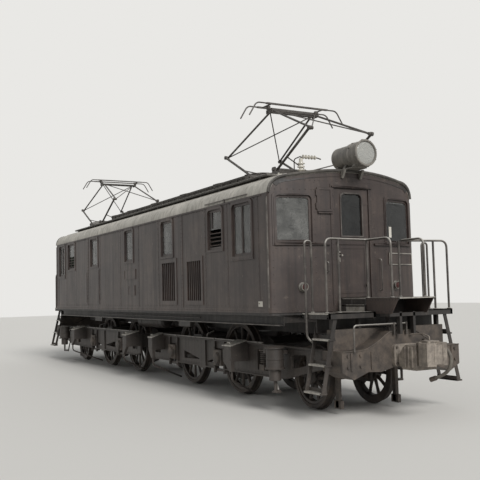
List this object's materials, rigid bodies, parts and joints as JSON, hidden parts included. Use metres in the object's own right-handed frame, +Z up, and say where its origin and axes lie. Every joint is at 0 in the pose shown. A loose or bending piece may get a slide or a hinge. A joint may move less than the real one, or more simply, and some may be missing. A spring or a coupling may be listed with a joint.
{
  "type": "electric locomotive",
  "caption": "Box-cab electric locomotive with bowed ends, end doors and decks, articulated trucks and diamond pantographs.",
  "frame": {"origin": "on the floor under the middle of the locomotive, at the lowest points of the wheel flanges", "axes": "+X along the track towards the front end, +Y to the left, +Z up"},
  "size_m": [15.41, 2.772, 4.9352],
  "materials": {
    "body_brown": "weathered satin paint",
    "roof_grey": "dusty matt paint",
    "roof_dark": "dusty matt paint",
    "running_gear_black": "oily, dusty black paint",
    "cast_steel": "rough casting, dusty black",
    "wheel_steel": "dark steel with worn treads",
    "pantograph_steel": "worn grey paint",
    "porcelain": "glazed porcelain, sooty",
    "lamp_grey": "worn grey paint",
    "window_glass": "dusty clear glass",
    "interior_paint": "matt interior paint",
    "machinery_grey": "plain closed block",
    "hose_rubber": "dusty rubber"
  },
  "bodies": {
    "carbody": {"underframe": "running_gear_black", "side_wall_left": "body_brown", "side_wall_right": "body_brown", "end_wall_front": "body_brown", "end_wall_rear": "body_brown", "roof": "roof_grey", "roof_equipment": "roof_dark", "window_frames": "body_brown", "glazing": "window_glass", "grilles": "body_brown", "bulkheads": "interior_paint", "machinery": "machinery_grey", "cab_fittings": "interior_paint", "lamps": "lamp_grey", "pantograph_bases": "pantograph_steel", "insulators": "porcelain"},
    "end_door_front": {"end_door_front": "body_brown", "door_glass_front": "window_glass"},
    "truck_front": {"side_frames_front": "running_gear_black", "transoms_front": "running_gear_black", "end_beam_front": "cast_steel", "coupler_front": "cast_steel", "deck_front": "running_gear_black", "handrails_front": "running_gear_black", "sandboxes_front": "running_gear_black", "brake_cylinders_front": "running_gear_black", "axle_boxes_front": "cast_steel", "motors_front": "running_gear_black", "brake_hose_front": "hose_rubber", "hose_head_front": "cast_steel"},
    "wheelset_leading_front": {"wheelset_leading_front": "wheel_steel"},
    "wheelset_outer_driving_front": {"wheelset_outer_driving_front": "wheel_steel"},
    "wheelset_inner_driving_front": {"wheelset_inner_driving_front": "wheel_steel"},
    "pan_front_lower_front": {"pan_front_lower_front": "pantograph_steel"},
    "pan_front_lower_rear": {"pan_front_lower_rear": "pantograph_steel"},
    "pan_front_upper_front": {"pan_front_upper_front": "pantograph_steel"},
    "pan_front_upper_rear": {"pan_front_upper_rear": "pantograph_steel"},
    "pan_front_head": {"pan_front_head": "pantograph_steel"},
    "end_door_rear": {"end_door_rear": "body_brown", "door_glass_rear": "window_glass"},
    "truck_rear": {"side_frames_rear": "running_gear_black", "transoms_rear": "running_gear_black", "end_beam_rear": "cast_steel", "coupler_rear": "cast_steel", "deck_rear": "running_gear_black", "handrails_rear": "running_gear_black", "sandboxes_rear": "running_gear_black", "brake_cylinders_rear": "running_gear_black", "axle_boxes_rear": "cast_steel", "motors_rear": "running_gear_black", "brake_hose_rear": "hose_rubber", "hose_head_rear": "cast_steel"},
    "wheelset_leading_rear": {"wheelset_leading_rear": "wheel_steel"},
    "wheelset_outer_driving_rear": {"wheelset_outer_driving_rear": "wheel_steel"},
    "wheelset_inner_driving_rear": {"wheelset_inner_driving_rear": "wheel_steel"},
    "pan_rear_lower_front": {"pan_rear_lower_front": "pantograph_steel"},
    "pan_rear_lower_rear": {"pan_rear_lower_rear": "pantograph_steel"},
    "pan_rear_upper_front": {"pan_rear_upper_front": "pantograph_steel"},
    "pan_rear_upper_rear": {"pan_rear_upper_rear": "pantograph_steel"},
    "pan_rear_head": {"pan_rear_head": "pantograph_steel"}
  },
  "joints": [
    {"name": "end_door_front_hinge", "type": "hinge", "parent": "carbody", "child": "end_door_front", "pos_m": [5.904, 0.32, 2.49], "axis": [0, 0, 1], "range_deg": [-90, 0]},
    {"name": "truck_front_swivel", "type": "hinge", "parent": "carbody", "child": "truck_front", "pos_m": [2.475, 0, 1.15], "axis": [0, 0, 1], "range_deg": [-2.5, 2.5]},
    {"name": "wheelset_leading_front_spin", "type": "hinge", "parent": "truck_front", "child": "wheelset_leading_front", "pos_m": [5.64, 0, 0.493], "axis": [0, 1, 0], "continuous": true},
    {"name": "wheelset_outer_driving_front_spin", "type": "hinge", "parent": "truck_front", "child": "wheelset_outer_driving_front", "pos_m": [3.45, 0, 0.653], "axis": [0, 1, 0], "continuous": true},
    {"name": "wheelset_inner_driving_front_spin", "type": "hinge", "parent": "truck_front", "child": "wheelset_inner_driving_front", "pos_m": [1.5, 0, 0.653], "axis": [0, 1, 0], "continuous": true},
    {"name": "pan_front_raise", "type": "hinge", "parent": "carbody", "child": "pan_front_lower_front", "pos_m": [4.81, 0, 3.76], "axis": [0, 1, 0], "range_deg": [-20, 20]},
    {"name": "pan_front_lower_rear_turn", "type": "hinge", "parent": "carbody", "child": "pan_front_lower_rear", "pos_m": [4.01, 0, 3.76], "axis": [0, 1, 0], "range_deg": [-20.02, 20.02]},
    {"name": "pan_front_upper_front_turn", "type": "hinge", "parent": "pan_front_lower_front", "child": "pan_front_upper_front", "pos_m": [5.765, 0, 4.258], "axis": [0, 1, 0], "range_deg": [-37.24, 37.24]},
    {"name": "pan_front_upper_rear_turn", "type": "hinge", "parent": "pan_front_lower_rear", "child": "pan_front_upper_rear", "pos_m": [3.055, 0, 4.258], "axis": [0, 1, 0], "range_deg": [-37.24, 37.24]},
    {"name": "pan_front_head_turn", "type": "hinge", "parent": "pan_front_upper_front", "child": "pan_front_head", "pos_m": [4.47, 0, 4.83332], "axis": [0, 1, 0], "range_deg": [-17.24, 17.24]},
    {"name": "end_door_rear_hinge", "type": "hinge", "parent": "carbody", "child": "end_door_rear", "pos_m": [-5.904, -0.32, 2.49], "axis": [0, 0, 1], "range_deg": [-90, 0]},
    {"name": "truck_rear_swivel", "type": "hinge", "parent": "carbody", "child": "truck_rear", "pos_m": [-2.475, 0, 1.15], "axis": [0, 0, 1], "range_deg": [-2.5, 2.5]},
    {"name": "wheelset_leading_rear_spin", "type": "hinge", "parent": "truck_rear", "child": "wheelset_leading_rear", "pos_m": [-5.64, 0, 0.493], "axis": [0, 1, 0], "continuous": true},
    {"name": "wheelset_outer_driving_rear_spin", "type": "hinge", "parent": "truck_rear", "child": "wheelset_outer_driving_rear", "pos_m": [-3.45, 0, 0.653], "axis": [0, 1, 0], "continuous": true},
    {"name": "wheelset_inner_driving_rear_spin", "type": "hinge", "parent": "truck_rear", "child": "wheelset_inner_driving_rear", "pos_m": [-1.5, 0, 0.653], "axis": [0, 1, 0], "continuous": true},
    {"name": "pan_rear_raise", "type": "hinge", "parent": "carbody", "child": "pan_rear_lower_front", "pos_m": [-4.81, 0, 3.76], "axis": [0, -1, 0], "range_deg": [-20, 20]},
    {"name": "pan_rear_lower_rear_turn", "type": "hinge", "parent": "carbody", "child": "pan_rear_lower_rear", "pos_m": [-4.01, 0, 3.76], "axis": [0, -1, 0], "range_deg": [-20.02, 20.02]},
    {"name": "pan_rear_upper_front_turn", "type": "hinge", "parent": "pan_rear_lower_front", "child": "pan_rear_upper_front", "pos_m": [-5.765, 0, 4.258], "axis": [0, -1, 0], "range_deg": [-37.24, 37.24]},
    {"name": "pan_rear_upper_rear_turn", "type": "hinge", "parent": "pan_rear_lower_rear", "child": "pan_rear_upper_rear", "pos_m": [-3.055, 0, 4.258], "axis": [0, -1, 0], "range_deg": [-37.24, 37.24]},
    {"name": "pan_rear_head_turn", "type": "hinge", "parent": "pan_rear_upper_front", "child": "pan_rear_head", "pos_m": [-4.47, 0, 4.83332], "axis": [0, -1, 0], "range_deg": [-17.24, 17.24]}
  ],
  "couplings": [
    {"joint": "pan_front_lower_rear_turn", "follows": "pan_front_raise", "ratio": -1},
    {"joint": "pan_front_upper_front_turn", "follows": "pan_front_raise", "ratio": -1.861},
    {"joint": "pan_front_upper_rear_turn", "follows": "pan_front_raise", "ratio": 1.861},
    {"joint": "pan_front_head_turn", "follows": "pan_front_raise", "ratio": 0.861},
    {"joint": "pan_rear_lower_rear_turn", "follows": "pan_rear_raise", "ratio": -1},
    {"joint": "pan_rear_upper_front_turn", "follows": "pan_rear_raise", "ratio": -1.861},
    {"joint": "pan_rear_upper_rear_turn", "follows": "pan_rear_raise", "ratio": 1.861},
    {"joint": "pan_rear_head_turn", "follows": "pan_rear_raise", "ratio": 0.861},
    {"joint": "truck_rear_swivel", "follows": "truck_front_swivel", "ratio": -1}
  ]
}
